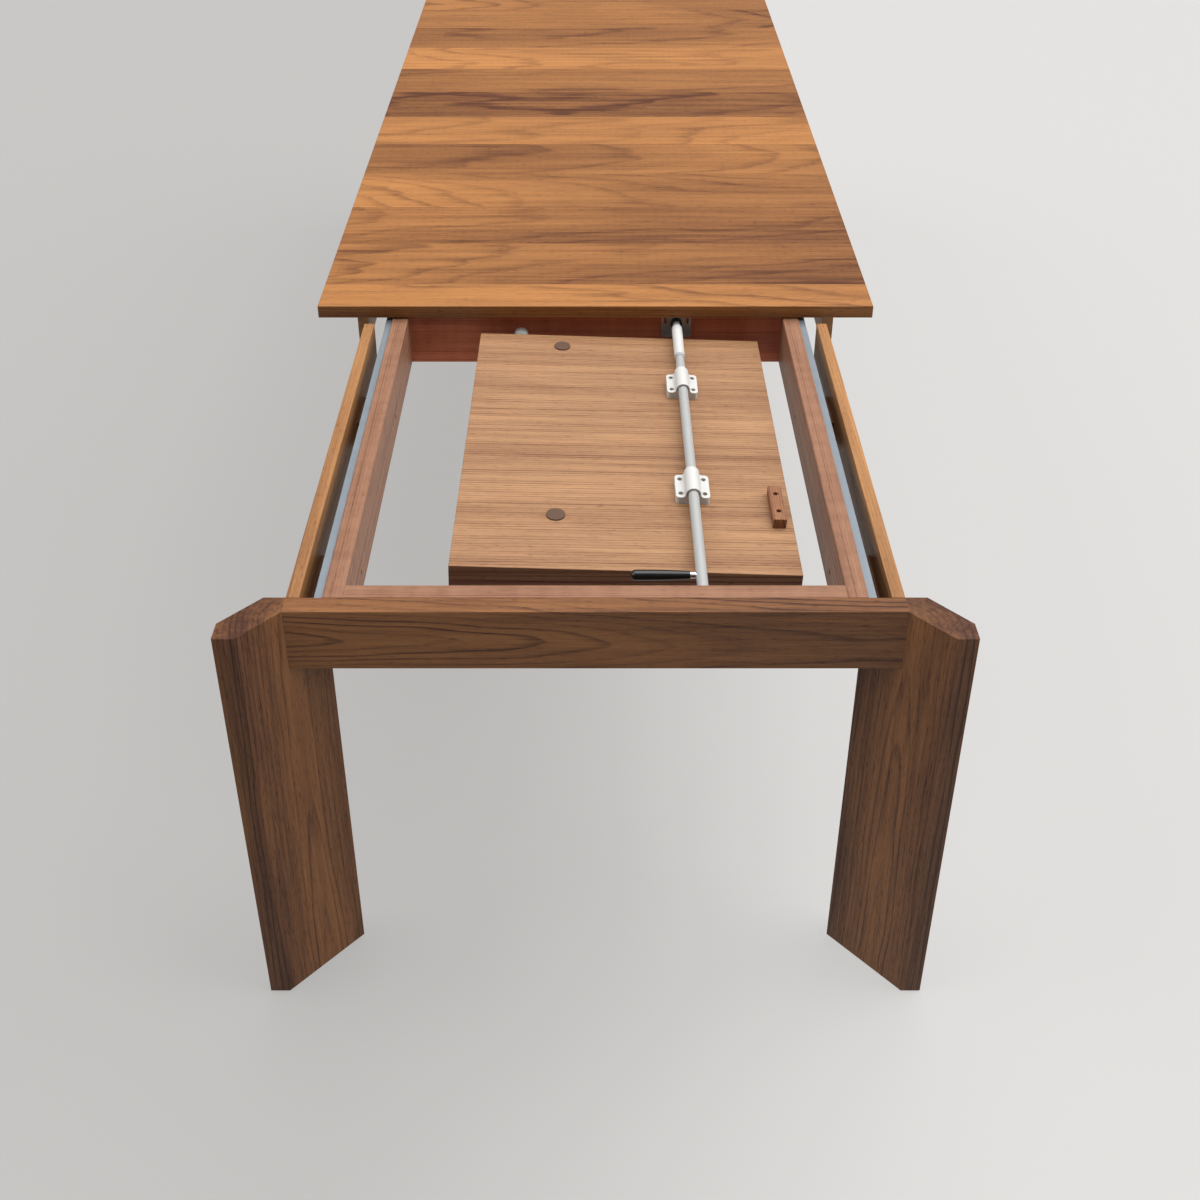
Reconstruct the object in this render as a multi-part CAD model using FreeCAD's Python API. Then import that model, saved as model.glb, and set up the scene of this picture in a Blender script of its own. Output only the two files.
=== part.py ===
import FreeCAD, Part
import math
import os

# Extending dining table with a fold-away leaf, shown with its end frame pulled out.
# +Y runs from the end frame to the far end, +X to the right, +Z up, millimetres.
# The origin is at floor level, in the middle of the pulled-out table.

Vector = FreeCAD.Vector
UP, ALONG, ACROSS = Vector(0, 0, 1), Vector(0, 1, 0), Vector(1, 0, 0)
SIDES = ((-1, "left"), (1, "right"))

# Overall sizes
table_height = 735.0
top_length = 2000.0
top_width = 1000.0
top_thick = 24.0
leaf_width = 650.0        # how much longer the table gets with its leaf in
swing_room = 186.0        # extra travel that lets the leaf swing up past the top's edge

# Legs: planks on the diagonal, cut square to the sides at their outer and inner corners
leg_inset = 4.0
leg_flat = 29.5
leg_reach = 129.0
leg_notch = 81.0
glide_radius = 14.0
glide_height = 3.0
nail_radius = 1.5
nail_length = 18.0

# Aprons, rails and runners
apron_height = 99.5
apron_thick = 29.0
outer_rail_thick = 20.0
outer_rail_offset = 50.0
inner_rail_thick = 18.0
inner_rail_short = 17.0   # how far the inner rails stop short of the top's edge
runner_thick = 28.0
slide_space = 30.6        # between a runner and the inner rail beside it
runner_end_gap = 211.0    # from a runner's end to the far apron, table closed
cross_thick = 25.0
cross_setback = 15.0      # far cross rail behind the top's edge, table open
top_gap = 2.5             # end frame below the top that slides over it
slide_play = 1.0          # clearance between parts that slide past each other
over = 1.0                # how far a cutting shape reaches past what it cuts

# Dowels, as heights above the rails' undersides in parts of the apron's height
apron_dowels = (0.22, 0.5, 0.78)
outer_rail_dowels = (0.3, 0.74)
inner_rail_dowels = (0.25, 0.75)
cross_rail_dowels = (0.15, 0.38)
batten_dowel = 26.0       # above the batten's own underside

# Screws
top_screw_depth = 40.0    # heads of the screws that hold the top, below its underside
top_screw_length = 54.0
top_screw_bore = 5.0
screw_end_gap = 40.0      # first and last screws of a slide, from its ends
screws_per_slide = 6

# Spacer blocks between the runners and the inner rails, as (start, end) from the front
spacer_gap = 4.0          # spacer blocks below the slide channels
spacer_spans = ((leg_notch, 235.0), (580.0, 660.0))
spacer_screws = (215.0, 620.0)

# Ball slides
channel_height = 46.0
channel_depth = 11.6
channel_wall = 1.6
channel_drop = 3.5        # channel's top below the runner's top
bar_thick = 7.5
bar_setback = 200.0       # near ends of the bars and bearers behind the top's edge
ball_radius = 2.5
ball_play = 0.1
cage_sheet = 0.8
cage_gap = 0.4
cage_margin = 30.0
balls_per_row = 8
bearer_thick = 17.0
batten_gap = 76.0

# Latch shaft, which is also the pivot that the leaf swings on
shaft_below_top = 17.5    # shaft centre below the underside of the top
tube_radius = 8.0
rod_radius = 6.5
collar_radius = 7.5
sleeve_radius = 9.3
shaft_play = 0.1
tube_setback = 146.0      # tube's end before the far cross rail
sleeve_span = (121.0, 23.0)
rod_overlap = 60.0        # how far the rod runs up inside the tube
handle_setback = 145.0
handle_length = 82.0
handle_radius = 8.0
finger_reach = 27.0
finger_width = 8.0
finger_gap = 9.0
keeper_thick = 2.0
pocket_depth = 12.0
pocket_reach = (6.0, 23.0)
bush_radius = 10.0
bush_flange = 12.0
far_bush_radius = 9.0
far_bush_flange = 10.5
bracket_width = 54.0
bracket_height = 44.0
bracket_sheet = 3.0
bracket_slot = 20.0       # slots to each side of the shaft
bracket_screw = 14.0
buffer_radius = 12.5
buffer_dome = 15.5
buffer_length = 18.0
buffer_height = 61.0

# Fold-away leaf
leaf_tilt = 2.0           # degrees that the folded leaf leans, left side up
leaf_gap = 0.5            # joint face to fold axis
fold_gap = 0.25           # top face to fold axis
fold_clear = 44.4         # fold axis to the right runner
leaf_back_gap = 30.0      # folded leaf to the far cross rail
clamp_width = 51.5
clamp_length = 57.0
clamp_base = 12.0
clamp_spacing = 292.0
clamp_front = 187.0
clamp_screw = 18.0        # screws from the clamp's middle, each way
clamp_screw_seat = 8.0    # screw heads above the leaf
clamp_wall = 2.2
liner_wall = 1.1
liner_length = 50.0
pad_radius = 14.0
pad_height = 2.3
pad_gaps = (123.0, 39.0)  # pads from the near and far edges of the leaf
block_size = (20.0, 84.0, 16.0)
block_place = (32.5, 106.0)  # from the fold and from the near edge
hinge_places = (0.14, 0.5, 0.86)  # as parts of the leaf's width
hinge_length = 50.0
hinge_height = 16.0
hinge_sheet = 1.5
hinge_screw_gap = 10.0    # from a hinge's ends
knuckle_gap = 0.2
knuckle_radius = 2.2

# Places worked out from the sizes
extension = leaf_width + swing_room
travel = extension + leg_inset
front = -(top_length + extension) / 2
edge = front + extension
back = -front
top_under = table_height - top_thick
frame_top = top_under - top_gap
frame_low = frame_top - apron_height
spacer_height = apron_height - channel_drop - channel_height - spacer_gap
leg_face = top_width / 2 - leg_inset
apron_half = leg_face - leg_notch
inner_rail_in = apron_half - inner_rail_thick
runner_out = inner_rail_in - slide_space
runner_in = runner_out - runner_thick
runner_end = back - leg_inset - leg_notch - runner_end_gap - travel
far_face = back - leg_inset
far_cross = edge + cross_setback
pivot_x = (runner_in - fold_clear) / 2
pivot_z = top_under - shaft_below_top
fold_x = 2 * pivot_x
fold_z = pivot_z - shaft_below_top - top_thick - fold_gap
leaf_back = far_cross - leaf_back_gap
leaf_front = leaf_back - leaf_width
leaf_left = fold_x - top_width / 2

pieces = {}


def box(x0, x1, y0, y1, z0, z1):
    return Part.makeBox(x1 - x0, y1 - y0, z1 - z0, Vector(x0, y0, z0))


def side_box(side, inner, outer, y0, y1, z0, z1):
    """A box between two distances from the centre line, left (-1) or right (+1)."""
    low, high = sorted((side * inner, side * outer))
    return box(low, high, y0, y1, z0, z1)


def rod(radius, start, end):
    run = end - start
    return Part.makeCylinder(radius, run.Length, start, run)


def shaft_rod(radius, y0, y1):
    """A round bar on the shaft's centre line."""
    return rod(radius, Vector(pivot_x, y0, pivot_z), Vector(pivot_x, y1, pivot_z))


def eased(shape, radius, direction=None):
    """Rounds the straight edges that run along a direction, or every straight edge."""
    chosen = []
    for one in shape.Edges:
        if isinstance(one.Curve, Part.Line):
            along = one.tangentAt(one.FirstParameter)
            if direction is None or abs(along.dot(direction)) > 0.999:
                chosen.append(one)
    return shape.makeFillet(radius, chosen)


def screw(head, direction, length, shank=2.0):
    """A countersunk screw: head is the middle of its flat face, direction its way in."""
    head_height = 0.9 * shank
    cone = Part.makeCone(2 * shank, shank, head_height, head, direction)
    shaft = Part.makeCylinder(shank, length, head, direction)
    point = Part.makeCone(shank, 0.3 * shank, shank, head + direction * length, direction)
    return cone.fuse(shaft).fuse(point).removeSplitter()


def dowel(centre, direction, length=60.0, radius=5.0):
    return rod(radius, centre - direction * (length / 2), centre + direction * (length / 2))


def group(shapes):
    return Part.makeCompound(shapes)


def bed(fasteners, *names):
    """Cuts the seats of a group of fasteners in the pieces that they pass through."""
    for name in names:
        pieces[name] = pieces[name].cut(fasteners.Solids)


def make_top():
    pieces["table_top"] = eased(box(-top_width / 2, top_width / 2, edge, back, top_under, table_height), 1.5)


def make_leg(side, outer_y, into, height):
    """One leg. Above the rails' underside it is notched for the apron and the rail."""
    outline = ((0, 0), (leg_flat, 0), (leg_reach, leg_reach - leg_flat),
               (leg_reach - leg_flat, leg_reach), (0, leg_flat))
    points = [Vector(side * (leg_face - a), outer_y + into * b, glide_height) for a, b in outline]
    plank = Part.Face(Part.makePolygon(points + points[:1])).extrude(UP * (height - glide_height))
    plank = eased(plank, 1.2, UP)
    low_y, high_y = sorted((outer_y - into * over, outer_y + into * (leg_reach + over)))
    beside = side_box(side, 0, apron_half, low_y, high_y, frame_low, height + over)
    low_y, high_y = sorted((outer_y + into * leg_notch, outer_y + into * (leg_reach + over)))
    behind = side_box(side, 0, leg_face + over, low_y, high_y, frame_low, height + over)
    return plank.cut([beside, behind])


def leg_glides(outer_y, into):
    """Two round glides under each of a pair of legs."""
    spots = (0.25 * leg_reach, 0.75 * leg_reach)
    shapes = []
    for side, _ in SIDES:
        for spot in spots:
            base = Vector(side * (leg_face - spot), outer_y + into * spot, 0)
            disc = Part.makeCylinder(glide_radius, glide_height, base)
            nail = Part.makeCylinder(nail_radius, nail_length, base + UP * glide_height)
            shapes.append(eased_rim(disc, 0.8).fuse(nail))
    return group(shapes)


def eased_rim(disc, radius):
    """Rounds the lower rim of a round glide or pad."""
    low = disc.BoundBox.ZMin
    return disc.makeFillet(radius, [one for one in disc.Edges if one.BoundBox.ZMax < low + 0.01])


def make_frame_end(name, outer_y, into, height):
    """The two legs and the apron of one end, with their glides and dowels."""
    for side, word in SIDES:
        pieces[f"{name}_leg_{word}"] = make_leg(side, outer_y, into, height)
    low_y, high_y = sorted((outer_y + into * (leg_notch - apron_thick), outer_y + into * leg_notch))
    apron = box(-apron_half, apron_half, low_y, high_y, frame_low, height)
    pieces[f"{name}_apron"] = eased(apron, 1.0, ACROSS)
    pieces[f"{name}_leg_glides"] = leg_glides(outer_y, into)
    middle = outer_y + into * (leg_notch - apron_thick / 2)
    dowels = [dowel(Vector(side * apron_half, middle, frame_low + up * apron_height), ACROSS)
              for side, _ in SIDES for up in apron_dowels]
    bed(pieces[f"{name}_leg_glides"], f"{name}_leg_left", f"{name}_leg_right")
    return dowels


def make_far_frame():
    """Everything under the main top that stays still."""
    dowels = make_frame_end("far", far_face, -1, top_under)
    rail_out = leg_face - outer_rail_offset
    rail_in = rail_out - outer_rail_thick
    rail_start = edge + leg_inset + leg_notch + slide_play
    rail_end = far_face - leg_notch
    bearer_low = frame_top - channel_drop - channel_height
    bearer_in = runner_out + channel_depth + slide_play
    batten_front = runner_end + travel + batten_gap
    batten_back = batten_front + cross_thick
    screws = []
    for side, word in SIDES:
        rail = side_box(side, rail_in, rail_out, rail_start, rail_end, frame_low + slide_play, top_under)
        pieces[f"outer_rail_{word}"] = eased(rail, 1.0, ALONG)
        rail_x = side * (rail_in + rail_out) / 2
        dowels += [dowel(Vector(rail_x, rail_end, frame_low + up * apron_height), ALONG)
                   for up in outer_rail_dowels]
        pieces[f"bearer_{word}"] = side_box(side, bearer_in, bearer_in + bearer_thick,
                                            edge + bar_setback, batten_back, bearer_low, top_under)
        screws += rail_screws(rail_x, rail_start, rail_end)
        screws += rail_screws(side * (bearer_in + bearer_thick / 2), edge + bar_setback, batten_front)
    pieces["far_batten"] = box(-bearer_in, bearer_in, batten_front, batten_back, bearer_low, top_under)
    for side, _ in SIDES:
        centre = Vector(side * bearer_in, batten_front + cross_thick / 2, bearer_low + batten_dowel)
        dowels.append(dowel(centre, ACROSS, 30.0))
    apron_y = far_face - leg_notch + apron_thick / 2
    screws += [top_screw(x, apron_y) for x in (-0.6 * apron_half, 0, 0.6 * apron_half)]
    pieces["far_dowels"] = group(dowels)
    pieces["top_screws"] = group([one for one, _ in screws])
    bores = group([one for _, one in screws])
    holders = ["far_apron", "outer_rail_left", "outer_rail_right", "bearer_left", "bearer_right"]
    bed(bores, *holders)
    bed(pieces["top_screws"], "table_top", *holders)
    bed(pieces["far_dowels"], "far_leg_left", "far_leg_right", "far_batten", *holders)


def top_screw(x, y):
    """A screw up into the top, and the bore that its head goes up through."""
    head = Vector(x, y, top_under - top_screw_depth)
    bore = Part.makeCylinder(top_screw_bore, apron_height, head - UP * apron_height)
    return screw(head, UP, top_screw_length, 2.3), bore


def rail_screws(x, y0, y1, count=5):
    step = (y1 - y0) / count
    return [top_screw(x, y0 + step * (i + 0.5)) for i in range(count)]


def make_end_frame():
    """The end frame that pulls out: legs, apron, inner rails, runners and cross rails."""
    dowels = make_frame_end("near", front, 1, frame_top)
    start = front + leg_notch
    block_screws = []
    for side, word in SIDES:
        rail = side_box(side, inner_rail_in, apron_half, start, edge - inner_rail_short, frame_low, frame_top)
        pieces[f"inner_rail_{word}"] = eased(rail, 0.8, ALONG)
        runner = side_box(side, runner_in, runner_out, start, runner_end, frame_low, frame_top)
        pieces[f"runner_{word}"] = eased(runner, 0.8, ALONG)
        for x, radius in ((inner_rail_in + apron_half, 4.0), (runner_in + runner_out, 5.0)):
            dowels += [dowel(Vector(side * x / 2, start, frame_low + up * apron_height), ALONG, 36.0, radius)
                       for up in inner_rail_dowels]
        for y in (start + cross_thick / 2, far_cross + cross_thick / 2):
            dowels += [dowel(Vector(side * runner_in, y, frame_low + up * apron_height), ACROSS, 40.0)
                       for up in cross_rail_dowels]
        for place in spacer_screws:
            head = Vector(side * (runner_in + 3.0), front + place, frame_low + 2 * spacer_height / 3)
            block_screws.append((screw(head, ACROSS * side, 44.0), rod(4.2, head, head - ACROSS * side * 4)))
    pieces["spacer_blocks"] = group([
        side_box(side, runner_out, inner_rail_in, front + y0, front + y1, frame_low, frame_low + spacer_height)
        for side, _ in SIDES for y0, y1 in spacer_spans])
    pieces["near_cross_rail"] = eased(box(-runner_in, runner_in, start, start + cross_thick,
                                          frame_low, frame_top), 0.8, ACROSS)
    pieces["far_cross_rail"] = eased(box(-runner_in, runner_in, far_cross, far_cross + cross_thick,
                                         frame_low, frame_top), 0.8, ACROSS)
    pieces["near_dowels"] = group(dowels)
    frame_screws = group([one for one, _ in block_screws])
    woods = ["near_apron", "near_leg_left", "near_leg_right", "near_cross_rail", "far_cross_rail",
             "inner_rail_left", "inner_rail_right", "runner_left", "runner_right"]
    bed(pieces["near_dowels"], *woods)
    bed(group([one for _, one in block_screws]), "runner_left", "runner_right")
    bed(frame_screws, "runner_left", "runner_right", "spacer_blocks")
    pieces["frame_screws"] = frame_screws


def make_slides():
    """Ball slides: channels on the runners, bars on the bearers, caged balls between them."""
    start, end = front + leg_notch + slide_play, runner_end
    channel_top = frame_top - channel_drop
    channel_low = channel_top - channel_height
    web = runner_out + channel_wall
    bar_out = runner_out + channel_depth + slide_play
    bar_in = bar_out - bar_thick
    ball_x = (bar_in + runner_out + channel_depth) / 2
    ball_rows = (channel_low + channel_wall + ball_radius + ball_play,
                 channel_top - channel_wall - ball_radius - ball_play)
    cage_start = edge + bar_setback + cage_margin
    cage_end = runner_end - cage_margin
    pitch = (cage_end - cage_start) / balls_per_row
    bar_low, bar_top = ball_rows[0] + 0.8, ball_rows[1] - 0.8
    channel_screws, bar_screws, balls = [], [], []
    for side, word in SIDES:
        shell = side_box(side, runner_out, runner_out + channel_depth, start, end, channel_low, channel_top)
        hollow = side_box(side, web, runner_out + channel_depth + over, start - over, end + over,
                          channel_low + channel_wall, channel_top - channel_wall)
        pieces[f"slide_channel_{word}"] = shell.cut(hollow)
        bar_start, bar_end = edge + bar_setback, end + travel
        bar = side_box(side, bar_in, bar_out, bar_start + slide_play, bar_end, bar_low, bar_top)
        middle = (channel_low + channel_top) / 2
        for i in range(screws_per_slide):
            part = i / (screws_per_slide - 1)
            y = start + screw_end_gap + part * (end - start - 2 * screw_end_gap)
            channel_screws.append(screw(Vector(side * web, y, middle), ACROSS * -side, 18.0, 1.7))
            y = bar_start + screw_end_gap + part * (bar_end - bar_start - 2 * screw_end_gap)
            bar_screws.append(screw(Vector(side * bar_in, y, middle), ACROSS * side, 20.0, 1.7))
        holes = []
        for z in ball_rows:
            row_start, row_end = Vector(side * ball_x, edge, z), Vector(side * ball_x, back, z)
            groove = rod(ball_radius + ball_play, row_start, row_end)
            bar = bar.cut(groove)
            for i in range(balls_per_row):
                centre = Vector(side * ball_x, cage_start + pitch * (i + 0.5), z)
                balls.append(Part.makeSphere(ball_radius, centre))
                holes.append(rod(ball_radius + ball_play, centre - UP * 2, centre + UP * 2))
        pieces[f"slide_bar_{word}"] = bar
        cage_out = runner_out + channel_depth - 1.0
        cage = side_box(side, web + cage_gap, cage_out, cage_start, cage_end,
                        ball_rows[0] - cage_sheet / 2, ball_rows[1] + cage_sheet / 2)
        inside = side_box(side, web + cage_gap + cage_sheet, cage_out + over,
                          cage_start - over, cage_end + over,
                          ball_rows[0] + cage_sheet / 2, ball_rows[1] - cage_sheet / 2)
        pieces[f"ball_cage_{word}"] = cage.cut([inside] + holes)
    pieces["slide_balls"] = group(balls)
    pieces["channel_screws"] = group(channel_screws)
    pieces["bar_screws"] = group(bar_screws)
    bed(pieces["channel_screws"], "slide_channel_left", "slide_channel_right", "runner_left", "runner_right")
    bed(pieces["bar_screws"], "slide_bar_left", "slide_bar_right", "bearer_left", "bearer_right")


def make_shaft():
    """The latch shaft, its bushes and bracket, its handle and the finger that locks the top."""
    near_face = front + leg_notch + cross_thick
    tube_end = far_cross - tube_setback
    sleeve_start, sleeve_end = [far_cross - reach for reach in sleeve_span]
    handle_y = front + handle_setback
    finger_y = far_cross + cross_thick + finger_gap
    hollow = shaft_rod(rod_radius, near_face - 20, tube_end + over)
    tube = shaft_rod(tube_radius, near_face - 18, tube_end).cut(hollow)
    latch_rod = shaft_rod(rod_radius, tube_end - rod_overlap, finger_y + 10)
    ridge = eased_rims(shaft_rod(tube_radius + 0.4, sleeve_start - 6, sleeve_start), 0.6)
    collar = shaft_rod(collar_radius, tube_end, sleeve_start - 3).fuse(ridge).removeSplitter()
    pieces["rod_collar"] = collar.cut(latch_rod)
    sleeve = shaft_rod(sleeve_radius, sleeve_start, sleeve_end)
    pieces["rod_sleeve"] = eased_rims(sleeve, 1.5).cut(latch_rod)
    ferrule_end = pivot_x - tube_radius - 8
    stub = rod(3.0, Vector(pivot_x - rod_radius, handle_y, pivot_z),
               Vector(ferrule_end - 20, handle_y, pivot_z))
    ferrule = rod(4.6, Vector(pivot_x - tube_radius - 0.5, handle_y, pivot_z),
                  Vector(ferrule_end, handle_y, pivot_z))
    pieces["handle_ferrule"] = stub.fuse(ferrule.cut(tube)).removeSplitter()
    pieces["latch_tube"] = tube.cut(stub)
    pieces["latch_rod"] = latch_rod
    pieces["latch_handle"] = make_handle(ferrule_end, handle_y).cut(stub)
    hub = shaft_rod(10.0, finger_y - finger_width / 2, finger_y + finger_width / 2)
    arm = box(pivot_x, pivot_x + finger_reach, finger_y - finger_width / 2, finger_y + finger_width / 2,
              pivot_z - finger_width / 2, pivot_z + finger_width / 2)
    pieces["latch_finger"] = hub.fuse(eased(arm, 1.0, ALONG)).removeSplitter().cut(latch_rod)
    make_shaft_seats(near_face, finger_y)


def make_handle(x, y):
    """A turned grip that swells towards its rounded end."""
    thin = 0.72 * handle_radius
    nose = Vector(x - handle_length, y, pivot_z)
    swell = Vector(x - handle_length + 6, y, pivot_z + handle_radius - 0.5)
    shoulder = nose + Vector(1.6, 0, handle_radius - 2.6)
    curve = Part.BSplineCurve()
    curve.interpolate([swell, Vector(x - 0.5 * handle_length, y, pivot_z + 0.92 * handle_radius),
                       Vector(x, y, pivot_z + thin)])
    edges = [Part.Arc(nose, shoulder, swell).toShape(), curve.toShape(),
             Part.makeLine(Vector(x, y, pivot_z + thin), Vector(x, y, pivot_z)),
             Part.makeLine(Vector(x, y, pivot_z), nose)]
    return Part.Face(Part.Wire(edges)).revolve(nose, ACROSS, 360)


def eased_rims(bar, radius):
    """Rounds both rims of a round bar that lies along the table."""
    rims = [one for one in bar.Edges if isinstance(one.Curve, Part.Circle)]
    return bar.makeFillet(radius, rims)


def make_shaft_seats(near_face, finger_y):
    """Bushes and bracket on the end frame, and the keepers in the top for the three lock places."""
    near_flange = shaft_rod(bush_flange, near_face, near_face + 2)
    near_bush = shaft_rod(bush_radius, near_face - 20, near_face).fuse(near_flange)
    bed(near_bush, "near_cross_rail")
    pieces["near_bush"] = near_bush.cut(shaft_rod(tube_radius + shaft_play, near_face - 18, near_face + 3))
    plate_face, rail_back = far_cross - bracket_sheet, far_cross + cross_thick
    far_barrel = shaft_rod(far_bush_radius, plate_face, rail_back)
    bed(far_barrel, "far_cross_rail")
    far_bush = far_barrel.fuse(shaft_rod(far_bush_flange, plate_face - 4, plate_face))
    pieces["far_bush"] = far_bush.cut(shaft_rod(rod_radius + shaft_play, plate_face - 5, rail_back + over))
    plate = box(pivot_x - bracket_width / 2, pivot_x + bracket_width / 2, plate_face, far_cross,
                frame_top - bracket_height, frame_top)
    plate = eased(plate, 4.0, ALONG).cut(far_barrel)
    screws = []
    for side, _ in SIDES:
        slot_x = pivot_x + side * bracket_slot
        plate = plate.cut(box(slot_x - 2.5, slot_x + 2.5, plate_face - over, far_cross + over,
                              frame_top - 16, frame_top - 4))
        head = Vector(pivot_x + side * bracket_screw, plate_face, frame_top - bracket_height + 7)
        screws.append(screw(head, ALONG, 22.0))
    pieces["shaft_bracket"] = plate
    bed(group(screws), "shaft_bracket", "far_cross_rail")
    pieces["frame_screws"] = group(pieces["frame_screws"].Solids + screws)
    keepers, keeper_screws, pockets = [], [], []
    for shift in (0.0, travel - leaf_width, travel):
        y = finger_y + shift
        slot = (pivot_x - pocket_reach[0], pivot_x + pocket_reach[1],
                y - finger_width / 2 - 2, y + finger_width / 2 + 2)
        pockets.append(box(*slot, top_under - over, top_under + pocket_depth))
        seat = eased(box(slot[0] - 12, slot[1] + 12, slot[2] - 6, slot[3] + 6,
                         top_under, top_under + keeper_thick), 3.0, UP)
        keepers.append(seat)
        keeper_screws += [screw(Vector(x, y, top_under), UP, 14.0, 1.6) for x in (slot[0] - 6, slot[1] + 6)]
    bed(group(pockets + keepers), "table_top")
    pieces["keeper_plates"] = group(keepers).cut(pockets)
    pieces["keeper_screws"] = group(keeper_screws)
    bed(pieces["keeper_screws"], "keeper_plates", "table_top")
    make_buffer()


def make_buffer():
    """A domed buffer on the far cross rail that the leaf's edge can knock against."""
    centre = Vector(-0.4 * runner_in, far_cross, frame_low + buffer_height)
    stem = rod(buffer_radius, centre, centre - ALONG * buffer_length)
    ball_centre = centre - ALONG * (buffer_length - buffer_dome)
    dome = stem.common(Part.makeSphere(buffer_dome, ball_centre))
    pin = rod(2.0, centre, centre + ALONG * buffer_length)
    pieces["leaf_buffer"] = dome.fuse(pin)
    bed(pin, "far_cross_rail")


def make_clamp(y):
    """A moulded saddle clamp: a four-screw base with a rounded arch over the shaft."""
    under = pivot_z - shaft_below_top
    arch = sleeve_radius + clamp_wall
    fillet = shaft_below_top - clamp_base
    half = clamp_width / 2
    high = under + clamp_base
    bend = fillet * (1 - math.sqrt(0.5))
    y0, y1 = y - clamp_length / 2, y + clamp_length / 2

    def at(x, z):
        return Vector(pivot_x + x, y0, z)

    def foot(side):
        """The flat wing to one side of the arch, and the curve that joins them."""
        corners = [at(0, under), at(side * half, under), at(side * half, high),
                   at(side * (arch + fillet), high)]
        curve = Part.Arc(corners[-1], at(side * (arch + bend), high + bend), at(side * arch, pivot_z))
        return Part.makePolygon(corners).Edges + [curve.toShape()]

    crown = Part.Arc(at(-arch, pivot_z), at(0, pivot_z + arch), at(arch, pivot_z)).toShape()
    outline = Part.Wire(Part.__sortEdges__(foot(-1) + foot(1) + [crown]))
    rounded = eased(box(pivot_x - half, pivot_x + half, y0, y1, under - over, pivot_z + arch + over), 6.0, UP)
    bore = shaft_rod(tube_radius + liner_wall + 2 * shaft_play, y0 - over, y1 + over)
    body = Part.Face(outline).extrude(ALONG * clamp_length).common(rounded).cut(bore).removeSplitter()
    screws = []
    for dx in (-clamp_screw, clamp_screw):
        for dy in (-clamp_screw, clamp_screw):
            head = Vector(pivot_x + dx, y + dy, under + clamp_screw_seat)
            body = body.cut(Part.makeCylinder(4.0, 10, head))
            screws.append(screw(head, -UP, 22.0))
    return body, screws


def make_leaf():
    """The folded leaf: half A hangs from the shaft, half B lies under it on the fold hinges."""
    half_a_under = fold_z + fold_gap + top_thick
    for name, low in (("leaf_half_a", fold_z + fold_gap), ("leaf_half_b", fold_z - fold_gap - top_thick)):
        board = box(leaf_left, fold_x - leaf_gap, leaf_front, leaf_back, low, low + top_thick)
        pieces[name] = eased(board, 0.8)
    leaf_screws, liners = [], []
    for word, y in (("near", leaf_front + clamp_front), ("far", leaf_front + clamp_front + clamp_spacing)):
        pieces[f"saddle_clamp_{word}"], screws = make_clamp(y)
        leaf_screws += screws
        outer = shaft_rod(tube_radius + liner_wall + shaft_play, y - liner_length / 2, y + liner_length / 2)
        liners.append(outer.cut(shaft_rod(tube_radius + shaft_play, y - liner_length, y + liner_length)))
        bed(group(screws), f"saddle_clamp_{word}")
    pieces["pivot_liners"] = group(liners)
    pad_x = fold_x - (runner_in + runner_out) / 2
    pads = []
    for y in (leaf_front + pad_gaps[0], leaf_back - pad_gaps[1]):
        pad = Part.makeCylinder(pad_radius, pad_height, Vector(pad_x, y, half_a_under))
        stem = Part.makeCylinder(3.0, 10, Vector(pad_x, y, half_a_under - 10))
        rim = [one for one in pad.Edges if one.BoundBox.ZMin > half_a_under + pad_height - 0.01]
        pads.append(pad.makeFillet(0.7, rim).fuse(stem))
    pieces["glide_pads"] = group(pads)
    wide, long, high = block_size
    block_x, block_y = fold_x - block_place[0], leaf_front + block_place[1]
    block = eased(box(block_x, block_x + wide, block_y, block_y + long, half_a_under, half_a_under + high), 1.0)
    for y in (block_y + long / 4, block_y + 3 * long / 4):
        head = Vector(block_x + wide / 2, y, half_a_under + 6)
        block = block.cut(Part.makeCylinder(3.8, high, head))
        leaf_screws.append(screw(head, -UP, 24.0, 1.8))
    pieces["leaf_block"] = block
    bed(pieces["glide_pads"], "leaf_half_a")
    leaf_screws += make_fold_hinges()
    pieces["leaf_a_screws"] = group(leaf_screws)
    bed(pieces["leaf_a_screws"], "leaf_half_a", "leaf_block", "fold_hinges_a")
    for name in ("leaf_half_a", "leaf_half_b", "saddle_clamp_near", "saddle_clamp_far", "leaf_a_screws",
                 "leaf_b_screws", "glide_pads", "leaf_block", "fold_hinges_a", "fold_hinges_b", "hinge_pins"):
        pieces[name].rotate(Vector(pivot_x, 0, pivot_z), ALONG, leaf_tilt)


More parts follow.
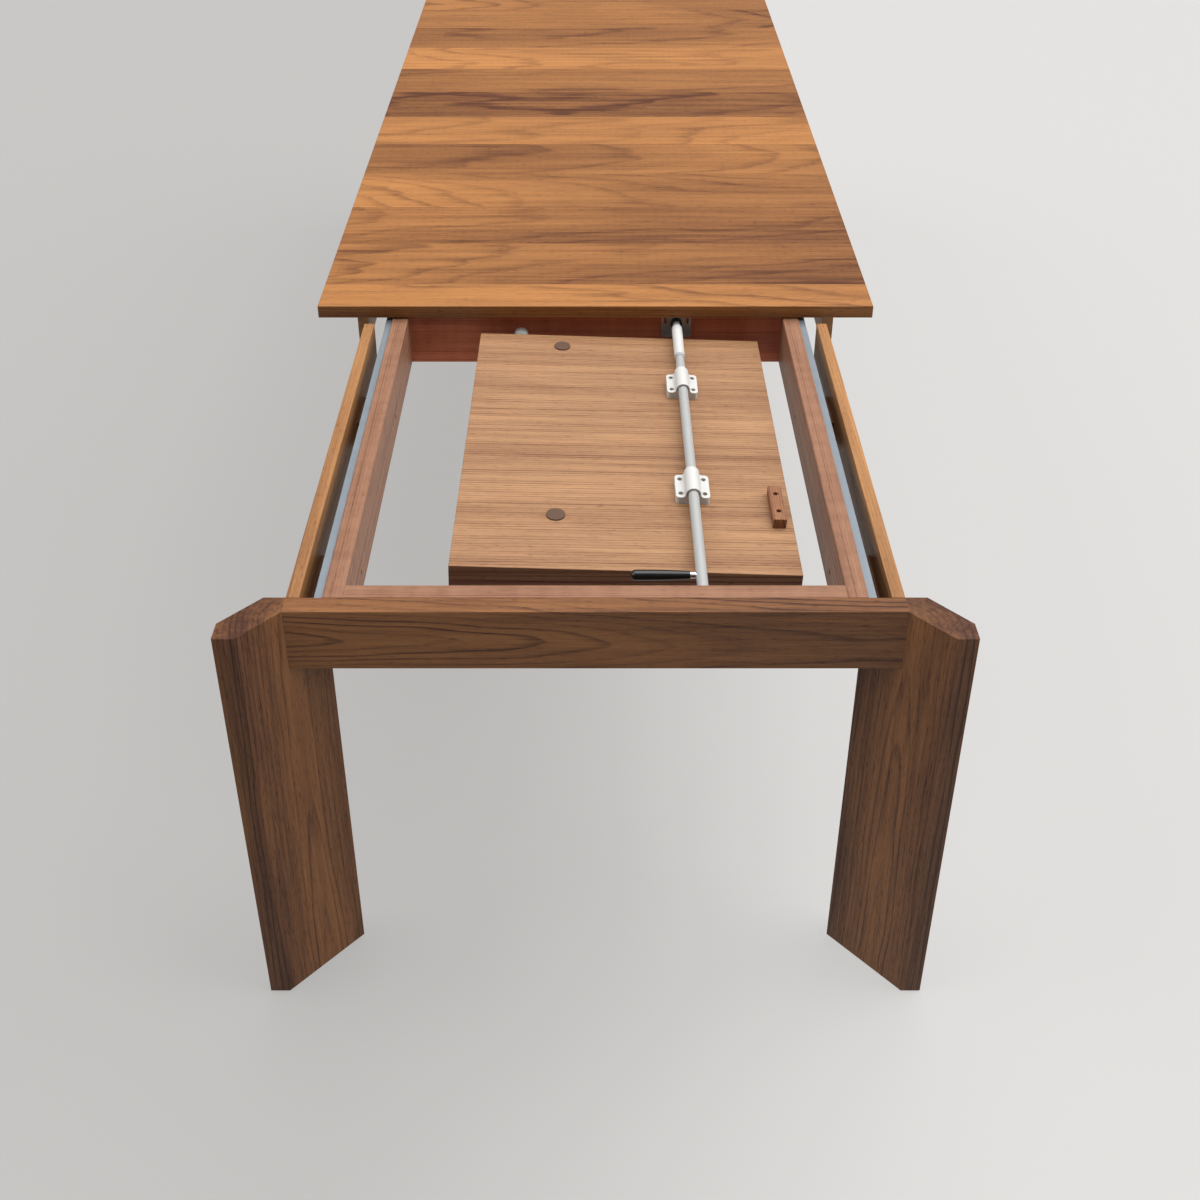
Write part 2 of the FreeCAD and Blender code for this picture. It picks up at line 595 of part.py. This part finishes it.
def make_fold_hinges():
    """Small butt hinges let into the joint faces, their pins where the top faces meet.

    Returns the screws that hold them to half A.
    """
    plates_a, plates_b, pins, screws_a, screws_b = [], [], [], [], []
    third = hinge_length / 3
    face = fold_x - leaf_gap
    for place in hinge_places:
        y0 = leaf_front + place * leaf_width - hinge_length / 2
        y1 = y0 + hinge_length

        def barrel(radius, start, end):
            return rod(radius, Vector(fold_x, start, fold_z), Vector(fold_x, end, fold_z))

        relief = barrel(knuckle_radius + 0.3, y0 - 0.3, y1 + 0.3)
        pin = barrel(1.0, y0, y1)
        plate_a = box(face - hinge_sheet, face, y0, y1, fold_z + fold_gap, fold_z + hinge_height)
        plate_b = box(face - hinge_sheet, face, y0, y1, fold_z - hinge_height, fold_z - fold_gap)
        bed(group([relief, plate_a]), "leaf_half_a")
        bed(group([relief, plate_b]), "leaf_half_b")
        wide = knuckle_radius + knuckle_gap
        middle = barrel(wide, y0 + third, y1 - third)
        ends = group([barrel(wide, y0, y0 + third), barrel(wide, y1 - third, y1)])
        knuckles_a = [barrel(knuckle_radius, y0, y0 + third - knuckle_gap),
                      barrel(knuckle_radius, y1 - third + knuckle_gap, y1)]
        knuckle_b = barrel(knuckle_radius, y0 + third + knuckle_gap, y1 - third - knuckle_gap)
        low_a = plate_b.BoundBox.ZMin
        own_a = plate_a.cut(middle).fuse(knuckles_a).removeSplitter().cut(pin)
        own_b = plate_b.cut(ends.Solids).fuse(knuckle_b).removeSplitter().cut(barrel(1.1, y0, y1))
        for y in (y0 + hinge_screw_gap, y1 - hinge_screw_gap):
            screws_a.append(screw(Vector(face, y, fold_z + hinge_height - 5), -ACROSS, 16.0, 1.5))
            screws_b.append(screw(Vector(face, y, low_a + 5), -ACROSS, 16.0, 1.5))
        plates_a.append(own_a)
        plates_b.append(own_b)
        pins.append(pin)
    pieces["fold_hinges_a"] = group(plates_a)
    pieces["fold_hinges_b"] = group(plates_b)
    pieces["hinge_pins"] = group(pins)
    pieces["leaf_b_screws"] = group(screws_b)
    bed(pieces["leaf_b_screws"], "fold_hinges_b", "leaf_half_b")
    return screws_a


make_top()
make_far_frame()
make_end_frame()
make_slides()
make_shaft()
make_leaf()

os.makedirs("parts", exist_ok=True)
for name, shape in pieces.items():
    solids = shape.Solids
    tidy = solids[0] if len(solids) == 1 else group(solids)
    tidy.exportStep(f"parts/{name}.step")
    print(name, len(solids), "solids", round(tidy.Volume), "mm3", "valid" if tidy.isValid() else "INVALID")
print("travel", travel, "pivot", pivot_x, pivot_z, "fold", fold_x, fold_z)
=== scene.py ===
import math

import bmesh
import bpy
from mathutils import Matrix, Vector


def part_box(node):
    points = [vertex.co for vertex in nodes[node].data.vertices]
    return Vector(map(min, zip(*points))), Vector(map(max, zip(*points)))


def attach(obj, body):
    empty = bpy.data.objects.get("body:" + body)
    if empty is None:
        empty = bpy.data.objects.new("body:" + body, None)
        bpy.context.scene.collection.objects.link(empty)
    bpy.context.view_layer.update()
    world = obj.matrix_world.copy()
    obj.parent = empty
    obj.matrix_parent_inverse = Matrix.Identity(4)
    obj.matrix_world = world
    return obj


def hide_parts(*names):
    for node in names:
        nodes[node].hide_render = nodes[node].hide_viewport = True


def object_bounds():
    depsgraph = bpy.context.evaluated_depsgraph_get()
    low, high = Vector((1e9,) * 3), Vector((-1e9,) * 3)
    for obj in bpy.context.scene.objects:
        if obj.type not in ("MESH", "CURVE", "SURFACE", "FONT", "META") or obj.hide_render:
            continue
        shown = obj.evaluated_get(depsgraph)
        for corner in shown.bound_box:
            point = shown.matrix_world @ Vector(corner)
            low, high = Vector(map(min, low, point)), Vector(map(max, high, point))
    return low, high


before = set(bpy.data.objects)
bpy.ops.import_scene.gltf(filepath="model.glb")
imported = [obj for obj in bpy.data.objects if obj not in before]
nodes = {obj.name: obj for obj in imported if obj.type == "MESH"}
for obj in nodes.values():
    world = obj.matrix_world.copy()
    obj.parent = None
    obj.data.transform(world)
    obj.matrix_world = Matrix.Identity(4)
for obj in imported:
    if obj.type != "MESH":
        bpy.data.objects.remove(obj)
cad_low, cad_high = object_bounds()

# ---- Main top -------------------------------------------------------------------------------
# A 24 mm walnut panel, glued up from wide boards that run across the table, planed, eased at
# its edges and finished with a satin lacquer. It lies on the far legs, apron and rails.


class Wire:
    """A value in a material. Sums on it add Math nodes; make() adds any other node."""

    def __init__(self, tree, socket=None):
        self.tree, self.socket = tree, socket

    def make(self, kind, settings, sockets, output=0):
        node = self.tree.nodes.new("ShaderNode" + kind)
        for key, value in settings.items():
            setattr(node, key, value)
        for key, value in sockets.items():
            if isinstance(value, Wire):
                self.tree.links.new(value.socket, node.inputs[key])
            else:
                node.inputs[key].default_value = value
        return Wire(self.tree, node.outputs[output])

    def maths(self, operation, *others):
        return self.make("Math", {"operation": operation}, dict(enumerate((self,) + others)))

    def __add__(self, other):
        return self.maths("ADD", other)

    def __sub__(self, other):
        return self.maths("SUBTRACT", other)

    def __rsub__(self, other):
        return self.make("Math", {"operation": "SUBTRACT"}, {0: other, 1: self})

    def __mul__(self, other):
        return self.maths("MULTIPLY", other)

    def __truediv__(self, other):
        return self.maths("DIVIDE", other)

    def __pow__(self, other):
        return self.maths("POWER", other)

    __radd__, __rmul__ = __add__, __mul__

    def within(self, low, high, new_low=0.0, new_high=1.0):
        """Maps a range to another one, held inside it."""
        return self.make("MapRange", {"interpolation_type": "SMOOTHSTEP"},
                         {0: self, 1: low, 2: high, 3: new_low, 4: new_high})

    def split(self, axes=(0, 1, 2)):
        """The X, Y and Z parts of a place or a colour, in the order of axes."""
        return [self.make("SeparateXYZ", {}, {0: self}, axis) for axis in axes]

    def noise(self, scale=1.0, detail=2.0, rough=0.5):
        """Noise at a place."""
        return self.make("TexNoise", {}, {"Vector": self, "Scale": scale, "Detail": detail,
                                          "Roughness": rough})

    def noise_along(self):
        """Noise that changes along a single number."""
        return self.make("TexNoise", {"noise_dimensions": "1D"}, {"W": self, "Scale": 1.0, "Detail": 2.0})

    def mix(self, first, second):
        """Goes from one colour to another as the value goes from 0 to 1."""
        return self.make("Mix", {"data_type": "RGBA"}, {0: self, 6: first, 7: second}, 2)

    def bump(self, strength, distance):
        return self.make("Bump", {}, {"Strength": strength, "Distance": distance, "Height": self})


def finish_material(name, build, **fixed):
    """A material with one Principled shader: build() gives its changing values, fixed the rest."""
    material = bpy.data.materials.new(name)
    material.use_nodes = True
    tree = material.node_tree
    shader = tree.nodes["Principled BSDF"]
    for key, value in fixed.items():
        shader.inputs[key.replace("_", " ").title().replace("Ior", "IOR")].default_value = value
    place = Wire(tree).make("TexCoord", {}, {}, "Object")
    for key, value in build(place).items():
        tree.links.new(value.socket, shader.inputs[key])
    return material


def rgba(red, green, blue):
    """A colour given as it looks on a screen, 0 to 255, turned into light values."""
    return tuple((part / 255) ** 2.2 for part in (red, green, blue)) + (1,)


# Marks per metre along the grain and across it
wander_marks, ripple_marks, streak_marks = (0.55, 2.2), (2.6, 11.0), (4.0, 80.0)
fibre_marks, pore_marks, flame_marks = (9.0, 420.0), (60.0, 1300.0), (48.0, 9.0)

# How far the tree's heart wanders below and beside a board, in metres, and how far the ripples
# and streaks shift a ring, in rings
wander_depth, wander_side = 0.045, 0.03
ripple_shift, streak_shift = 1.6, 0.5

# Parts of a ring where its dark late wood sets in, is full and ends, and how fast the dark
# bands and the broad belts change from ring to ring
late_start, late_full, late_end = 0.4, 0.92, 1.0
band_pace, belt_pace = 0.37, 0.06

# Where a glued board comes from in the tree: sideways in widths, along and deeper in metres
board_sideways, board_along, board_deeper = 1.3, 7.0, 0.05


def wood(name, axes, pale, deep, heart, drift=0.02, ring=0.005, boards=0, turn=0.0, seed=0.0,
         figure=1.0, rough=0.45, curl=0.0, edge=None, tone=0.3, streaks=0.8, lines=0.6, belts=1.2,
         straight=1.0):
    """Solid wood. axes are the grain, the board's width and its thickness, as 0, 1 or 2 for X, Y, Z.

    heart is how far the tree's heart lies from the board, across and below it; drift is how fast
    it wanders along the grain, which draws the cathedral arches, and figure how much. Where
    boards is given, the panel is glued up from boards of that width, each from another place in
    the tree. turn is a turn about Z that brings a slanted board square, and seed moves the tree.
    edge is a darker strip at one end, from end_grain_and_edge_shade(): sawn end grain on the legs,
    painted shade on the near edges of the top and the leaf. tone is how dark the wood is in all;
    streaks, lines, belts and curl are how strong its marks are, and straight draws them out.
    """
    def build(place):
        moved = (seed * 0.37, seed * 0.11, seed * 0.23)
        turned = place.make("Mapping", {}, {"Vector": place, "Rotation": (0, 0, turn), "Location": moved})
        along, across, below = turned.split(axes)
        shade = None
        if boards:
            count = (across / boards).maths("FLOOR")
            chance = count.make("TexWhiteNoise", {"noise_dimensions": "1D"}, {"W": count + seed}, "Color")
            sideways, further, shade = chance.split()
            across = across - (count + 0.5) * boards - (sideways - 0.5) * boards * board_sideways
            along = along + further * board_along
            below = below + shade * board_deeper

        def layer(marks, detail, rough=0.5, drawn=1.0):
            """Noise stretched along the grain."""
            spot = along.make("CombineXYZ", {}, {0: along * (marks[0] / drawn), 1: across * marks[1],
                                                 2: below * marks[1]})
            return spot.noise(1.0, detail, rough)

        wander = layer(wander_marks, 1.0) - 0.5
        ripple = layer(ripple_marks, 2.0) - 0.5
        streak = layer(streak_marks, 3.0, 0.6, straight) - 0.5
        depth = below + heart[1] + along * drift + wander * wander_depth * figure
        side = across + heart[0] + wander * wander_side * figure
        radius = (side * side + depth * depth).maths("SQRT")
        rings = radius / ring + ripple * ripple_shift * figure + streak * streak_shift
        cycle = rings.maths("FRACT")
        slope = side.maths("ABSOLUTE") / radius
        late = cycle.within(late_start, late_full) ** 2.0 * (1 - cycle.within(late_full, late_end))
        late = late * (slope * 0.4 + 0.6)
        band = (rings * band_pace).noise_along()
        belt = (rings * belt_pace + 7.0).noise_along()
        fibre = layer(fibre_marks, 3.0, 0.65, straight)
        pore = layer(pore_marks, 0.0).within(0.64, 0.74)
        dark = late * band.within(0.38, 0.68, 0.1, lines) + streak * streaks + (fibre - 0.5) * 0.6
        dark = dark + pore * 0.3 + (belt - 0.5) * belts + ripple * 0.3 + tone
        if shade:
            dark = dark + (shade - 0.5) * 0.3
        if curl:
            dark = dark + (layer(flame_marks, 1.0) - 0.5) * curl
        # edge darkens a strip at one end: sawn end grain on the legs, painted shade on the near edges of the
        # top and the leaf
        if edge:
            axis, start, full, strength = edge
            dark = dark + place.split((axis,))[0].within(start, full) * strength
        colour = dark.maths("MAXIMUM", 0.0).maths("MINIMUM", 1.0).mix(pale, deep)
        relief = (1 - fibre) * 0.5 - pore * 0.9 - late * 0.15
        return {"Base Color": colour, "Roughness": (fibre - 0.5) * 0.2 + pore * 0.15 + rough,
                "Normal": relief.bump(0.3, 0.0003)}
    return finish_material(name, build, specular_ior_level=0.25)


def end_grain_and_edge_shade(axis, end, into, strength, full=0.0006):
    """A darker strip over the last 1.2 mm of an end: sawn end grain on the legs, painted shade on
    the near edges of the top and the leaf. into is +1 or -1, from the end inwards.
    """
    return axis, end + into * 0.0012, end + into * full, strength


def dress(material, *names):
    """Gives CAD pieces their material."""
    for name in names:
        for slot in nodes[name].material_slots:
            slot.material = material


top_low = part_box("table_top")[0]
# The panel's near edge is long grain and is darkened: painted shade on its front edge, not end grain
dress(wood("walnut_panel", (0, 1, 2), rgba(168, 114, 65), rgba(74, 40, 20), (0.0, 0.03), boards=0.168,
           seed=3.0, ring=0.0052, figure=1.5, tone=0.38, streaks=0.75, lines=0.55, straight=2.0,
           belts=1.4, edge=end_grain_and_edge_shade(1, top_low.y, 1, 0.2, full=0.0004)), "table_top")

# ---- Legs -----------------------------------------------------------------------------------
# Four solid walnut planks, 42 mm thick, set on the diagonal with their outer corners cut square
# to the table's sides. Each is notched at its head for the apron, and doweled to it.
eighth = math.pi / 4
leg_turns = {"near_leg_left": -eighth, "near_leg_right": eighth,
             "far_leg_left": eighth, "far_leg_right": -eighth}
walnut_pale, walnut_deep = rgba(142, 95, 57), rgba(58, 31, 17)


def middle_of(name):
    low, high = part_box(name)
    return (low + high) / 2


for leg, turn in leg_turns.items():
    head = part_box(leg)[1].z
    square = Matrix.Rotation(turn, 3, "Z") @ middle_of(leg)
    dress(wood(f"walnut_{leg}", (2, 0, 1), walnut_pale, walnut_deep, (-square.x - 0.01, -square.y + 0.035),
               turn=turn, edge=end_grain_and_edge_shade(2, head, -1, 0.15), tone=0.47, drift=0.035, ring=0.0075,
               figure=2.0, lines=0.5, streaks=0.7), leg)

# ---- Aprons and side rails ------------------------------------------------------------------
# Walnut boards on edge: the aprons show arched grain, the rails straighter grain. The end
# frame's own rails slide in beside the fixed ones when the table is closed.
rail_pale, rail_deep = rgba(164, 118, 75), rgba(88, 53, 32)
for name in ("near_apron", "far_apron"):
    middle = middle_of(name)
    dress(wood(f"walnut_{name}", (0, 2, 1), walnut_pale, walnut_deep,
               (-middle.z - 0.004, -middle.y + 0.032), drift=0.035, ring=0.0075, figure=2.2, tone=0.34,
               lines=0.75), name)
for name in ("inner_rail_left", "inner_rail_right", "outer_rail_left", "outer_rail_right"):
    middle = middle_of(name)
    dress(wood(f"walnut_{name}", (1, 2, 0), rail_pale, rail_deep, (-middle.z - 0.02, -middle.x + 0.09),
               figure=0.6), name)

# ---- Runners, cross rails and bearers -------------------------------------------------------
# Straight-grained hardwood with a red-brown stain: the runners that carry the end frame, the
# rails between them, and the bearers, batten and blocks that nobody sees.


def stained(name, axes, pale=rgba(142, 104, 81), deep=rgba(92, 57, 41)):
    middle = middle_of(name)
    heart = (-middle[axes[1]] + 0.35, -middle[axes[2]] + 0.1)
    dress(wood(f"stained_{name}", axes, pale, deep, heart, drift=0.012, ring=0.0045, figure=0.3,
               rough=0.5, curl=0.5), name)


for name in ("runner_left", "runner_right"):
    stained(name, (1, 0, 2))
stained("near_cross_rail", (0, 1, 2))
stained("far_cross_rail", (0, 2, 1), rgba(176, 98, 66), rgba(112, 52, 34))
for name in ("bearer_left", "bearer_right"):
    stained(name, (1, 2, 0))
stained("far_batten", (0, 2, 1))
# The spacer blocks get a darker colour than the other stained pieces: painted shade for the dark gap beside
# the rails where they sit.
stained("spacer_blocks", (1, 2, 0), rgba(120, 80, 56), rgba(60, 36, 26))

# ---- Ball slides ----------------------------------------------------------------------------
# Cold-rolled steel channels on the runners and bars on the bearers, zinc plated with a blue
# tint, with balls in punched cages that roll between them. Screws and plates are plain zinc.
along_table = (1, 0, 2)
line_marks = (8.0, 900.0)  # per metre, along the drawing marks and across them


def metal(name, colour, rough, drawn=(0, 1, 2), bump=0.05, metallic=1.0):
    """Bare or plated metal with drawing marks along the first axis and faint cloudy wear."""
    shade = tuple(part * 0.72 for part in colour[:3]) + (1,)

    def build(place):
        along, across, below = place.split(drawn)
        spot = place.make("CombineXYZ", {}, {0: along * line_marks[0], 1: across * line_marks[1],
                                             2: below * line_marks[1]})
        lines = spot.noise(1.0, 3.0)
        cloud = place.noise(35.0, 3.0)
        tone = (lines - 0.5) * 0.35 + (cloud - 0.5) * 0.5 + 0.5
        return {"Base Color": tone.mix(shade, colour),
                "Roughness": (cloud - 0.5) * 0.2 + (lines - 0.5) * 0.1 + rough,
                "Normal": lines.bump(bump, 0.0003)}
    return finish_material(name, build, metallic=metallic)


slide_steel = metal("blue_zinc", (0.22, 0.25, 0.28, 1), 0.5, along_table, metallic=0.5)
dress(slide_steel, "slide_channel_left", "slide_channel_right", "slide_bar_left", "slide_bar_right",
      "slide_balls")
dress(metal("cage_sheet", (0.42, 0.43, 0.44, 1), 0.4, along_table), "ball_cage_left", "ball_cage_right")
dress(metal("bright_zinc", (0.3, 0.3, 0.3, 1), 0.4, metallic=0.6), "top_screws", "frame_screws",
      "channel_screws", "bar_screws", "keeper_screws", "keeper_plates", "shaft_bracket", "latch_finger")

# ---- Latch shaft ----------------------------------------------------------------------------
# A steel tube with a satin grey powder coat that the leaf swings and slides on. A thinner rod
# telescopes from its far end, through a nylon sleeve, to the finger that locks the top.


def moulded(name, colour, rough, speckle=0.04, grain=900.0, **fixed):
    """Moulded plastic or powder coat: an even colour, fine skin texture and handling marks."""
    dull = tuple(part * 0.86 for part in colour[:3]) + (1,)

    def build(place):
        skin = place.noise(grain, 2.0)
        cloud = place.noise(28.0, 4.0, 0.6)
        tone = (skin - 0.5) * speckle * 4 + (cloud - 0.5) * speckle * 8 + 0.5
        return {"Base Color": tone.mix(dull, colour), "Roughness": (cloud - 0.5) * 0.22 + rough,
                "Normal": skin.bump(0.15, 0.0002)}
    return finish_material(name, build, **fixed)


dress(moulded("grey_powder_coat", rgba(160, 161, 159), 0.38, coat_weight=0.1),
      "latch_tube", "latch_rod", "rod_collar")
dress(moulded("white_nylon", rgba(194, 193, 190), 0.4),
      "rod_sleeve", "saddle_clamp_near", "saddle_clamp_far", "leaf_buffer")
dress(moulded("black_nylon", rgba(14, 13, 13), 0.3), "latch_handle", "near_bush", "far_bush", "pivot_liners")
dress(metal("polished_chrome", (0.82, 0.82, 0.83, 1), 0.12, bump=0.01), "handle_ferrule")

# ---- Folded leaf ----------------------------------------------------------------------------
# Two boards faced with straight-grained veneer, hinged in brass where their top faces meet and
# folded together, with the paler underside of the first one up. A dark block is screwed to it.
leaf_pale, leaf_deep = rgba(163, 124, 90), rgba(90, 55, 38)
# The halves' near edges are darkened: painted shade on their front edges, not end grain
for name in ("leaf_half_a", "leaf_half_b"):
    near_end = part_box(name)[0].y
    dress(wood(f"veneer_{name}", (0, 1, 2), leaf_pale, leaf_deep, (2.4, 0.1), drift=0.004, ring=0.0048,
               figure=0.2, rough=0.5, streaks=0.9, lines=0.8, tone=0.28, belts=0.6, straight=5.0,
               edge=end_grain_and_edge_shade(1, near_end, 1, 0.45)), name)
dress(wood("dark_walnut_block", (1, 0, 2), rgba(150, 104, 74), rgba(70, 38, 26), (0.05, -0.6), ring=0.004,
           figure=0.3), "leaf_block")
brass = metal("brushed_brass", (0.5, 0.37, 0.17, 1), 0.35, metallic=0.8)
dress(brass, "fold_hinges_a", "fold_hinges_b", "hinge_pins", "leaf_a_screws", "leaf_b_screws")

# ---- Leaf screws ----------------------------------------------------------------------------
# Countersunk steel screws, brass plated, with pressed cross recesses: four in each saddle clamp,
# two in the leaf's block and two in the upper plate of each hinge on the fold.
axis_x, axis_z, leaf_tilt = 0.147, 0.6935, math.radians(2)
leaf_front, leaf_width = -1.247, 0.65
leaf_face, fold_face, hinge_row = 0.676, 0.2935, 0.66275
clamp_places, clamp_spread, clamp_seat = (0.187, 0.479), 0.018, 0.008
block_places, block_row, block_seat = (0.127, 0.169), 0.2715, 0.006
hinge_places, hinge_spread = (0.14, 0.5, 0.86), 0.015


def screw_shape(mesh, place, shank, length):
    """One screw: place puts its head's face at z = 0, with its point downwards."""
    sides, tiny = 24, 1e-6
    rim = bmesh.ops.create_circle(mesh, segments=sides, radius=2 * shank)["verts"]
    recess = bmesh.ops.create_circle(mesh, segments=sides, radius=1.0)["verts"]
    arm, half = 1.15 * shank, 0.3 * shank
    for vert in recess:  # each point of the circle is drawn in to the outline of a cross
        wide, tall = max(abs(vert.co.x), tiny), max(abs(vert.co.y), tiny)
        vert.co.xy *= max(min(arm / wide, half / tall), min(half / wide, arm / tall))

    def edges(verts):
        return [one for one in {link for vert in verts for link in vert.link_edges}
                if one.other_vert(one.verts[0]) in verts and one.verts[0] in verts]

    bmesh.ops.bridge_loops(mesh, edges=edges(rim) + edges(recess))
    made = rim + recess

    def pushed(verts, shrink, depth):
        """Draws an open loop down, smaller or larger, and gives back its new points."""
        loop = [one for one in edges(verts) if len(one.link_faces) == 1]
        new = bmesh.ops.extrude_edge_only(mesh, edges=loop)["geom"]
        new_verts = [one for one in new if isinstance(one, bmesh.types.BMVert)]
        bmesh.ops.scale(mesh, vec=(shrink, shrink, 1), verts=new_verts)
        bmesh.ops.translate(mesh, vec=(0, 0, -depth), verts=new_verts)
        made.extend(new_verts)
        return new_verts

    bmesh.ops.contextual_create(mesh, geom=pushed(recess, 0.7, 0.85 * shank))
    neck = pushed(pushed(rim, 1.0, 0.1 * shank), 0.5, 0.8 * shank)
    tip = pushed(pushed(neck, 0.999, length - 0.9 * shank), 0.3, shank)
    bmesh.ops.contextual_create(mesh, geom=tip)
    bmesh.ops.transform(mesh, matrix=place, verts=made)


tilted = (Matrix.Translation((axis_x, 0, axis_z)) @ Matrix.Rotation(leaf_tilt, 4, "Y")
          @ Matrix.Translation((-axis_x, 0, -axis_z)))
screws = bmesh.new()
for clamp_place in clamp_places:
    for dx in (-clamp_spread, clamp_spread):
        for dy in (-clamp_spread, clamp_spread):
            at = Matrix.Translation((axis_x + dx, leaf_front + clamp_place + dy, leaf_face + clamp_seat))
            turn = Matrix.Rotation(190 * (dx + 3 * dy), 4, "Z")  # driven home to no special turn
            screw_shape(screws, tilted @ at @ turn, 0.002, 0.022)
for block_place in block_places:
    at = Matrix.Translation((block_row, leaf_front + block_place, leaf_face + block_seat))
    turn = Matrix.Rotation((leaf_front + block_place) * 40, 4, "Z")
    screw_shape(screws, tilted @ at @ turn, 0.0018, 0.024)
inwards = Matrix.Rotation(math.pi / 2, 4, "Y")
for hinge_place in hinge_places:
    for dy in (-hinge_spread, hinge_spread):
        at = Matrix.Translation((fold_face, leaf_front + hinge_place * leaf_width + dy, hinge_row))
        screw_shape(screws, tilted @ at @ inwards, 0.0015, 0.016)
bmesh.ops.recalc_face_normals(screws, faces=screws.faces)
screw_data = bpy.data.meshes.new("leaf_screws")
screws.to_mesh(screw_data)
screws.free()
screw_data.materials.append(brass)
leaf_screws = bpy.data.objects.new("leaf_screws", screw_data)
bpy.context.scene.collection.objects.link(leaf_screws)
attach(leaf_screws, "leaf_a")
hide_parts("leaf_a_screws")

# ---- Glides and dowels ----------------------------------------------------------------------
# Round brown glides of moulded fibre, pressed into the underside of the legs and into the leaf,
# and the turned beech dowels inside the joints.
brown_glide = moulded("brown_glide", rgba(80, 56, 38), 0.65, speckle=0.12, grain=420.0)
dress(brown_glide, "glide_pads", "near_leg_glides", "far_leg_glides")
dress(wood("beech_dowels", (0, 1, 2), rgba(220, 186, 146), rgba(176, 136, 98), (0.3, 0.3), figure=0.2),
      "far_dowels", "near_dowels")

# ---- Floor, lights and camera ---------------------------------------------------------------
# A pale studio floor that glows with painted light, brighter to the right, which lightens the
# table's shadow on it; even light from overhead and from both sides, a softbox to the right,
# and a camera that looks down the table from its near end.
floor_mesh = bmesh.new()
bmesh.ops.create_grid(floor_mesh, x_segments=1, y_segments=1, size=60.0)
floor_data = bpy.data.meshes.new("studio_floor")
floor_mesh.to_mesh(floor_data)
floor_mesh.free()
floor = bpy.data.objects.new("studio_floor", floor_data)
bpy.context.scene.collection.objects.link(floor)


# Painted light: the floor glows through its emission, brighter to the right, which lifts the table's shadow
# on it; its base colour is kept dark beside the glow.
def floor_paint_and_glow(place):
    cloud = place.noise(0.8, 2.0)
    tone = place.split()[0].within(-0.45, 0.6) + (cloud - 0.5) * 0.03
    return {"Base Color": tone.mix(rgba(86, 85, 84), rgba(95, 94, 93)),
            "Emission Color": tone.mix(rgba(197, 196, 194), rgba(228, 227, 225)),
            "Roughness": (cloud - 0.5) * 0.1 + 0.9}


floor_data.materials.append(finish_material("pale_glowing_floor", floor_paint_and_glow, specular_ior_level=0.1,
                                            emission_strength=0.695))


def lamp(name, kind, power):
    data = bpy.data.lights.new(name, kind)
    data.energy = power
    made = bpy.data.objects.new(name, data)
    bpy.context.scene.collection.objects.link(made)
    return made


softbox = lamp("right_softbox", "AREA", 15)
softbox.data.shape, softbox.data.size = "SQUARE", 2.0
softbox.location = (3.6, -0.6, 2.4)
softbox_aim = Vector((0, -0.4, 0.6)) - softbox.location
softbox.rotation_euler = softbox_aim.to_track_quat("-Z", "Y").to_euler()

# Even light from far away: its power, its spread, how far it tips back and leans to the right
for name, power, spread, tip, lean in (("overhead_light", 3.2, 60, 16, 8),
                                       ("left_light", 1.7, 50, 0, -50),
                                       ("right_light", 2.1, 50, 0, 50)):
    sky = lamp(name, "SUN", power)
    sky.data.angle = math.radians(spread)
    sky.rotation_euler = (math.radians(-tip), math.radians(lean), 0)

world = bpy.data.worlds.new("studio")
world.use_nodes = True
bpy.context.scene.world = world
fill_light, backdrop_light = 0.2, 0.75
backdrop = world.node_tree.nodes["Background"].inputs
backdrop["Color"].default_value = (0.97, 0.98, 1.0, 1)
in_view = Wire(world.node_tree).make("LightPath", {}, {}, "Is Camera Ray")
strength = in_view * (backdrop_light - fill_light) + fill_light
world.node_tree.links.new(strength.socket, backdrop["Strength"])
bpy.context.scene.view_settings.view_transform = "Standard"

camera_data = bpy.data.cameras.new("camera")
camera_data.sensor_width = 36
camera_data.lens = 42.45
camera_data.shift_x, camera_data.shift_y = 0.0038, -0.25
camera_data.dof.use_dof = False
camera = bpy.data.objects.new("camera", camera_data)
camera_back, camera_above, camera_dip = 1.387, 1.235, 28.8
camera.location = (0, cad_low.y - camera_back, cad_high.z + camera_above)
camera.rotation_euler = (math.radians(90 - camera_dip), 0, 0)
bpy.context.scene.collection.objects.link(camera)
bpy.context.scene.camera = camera
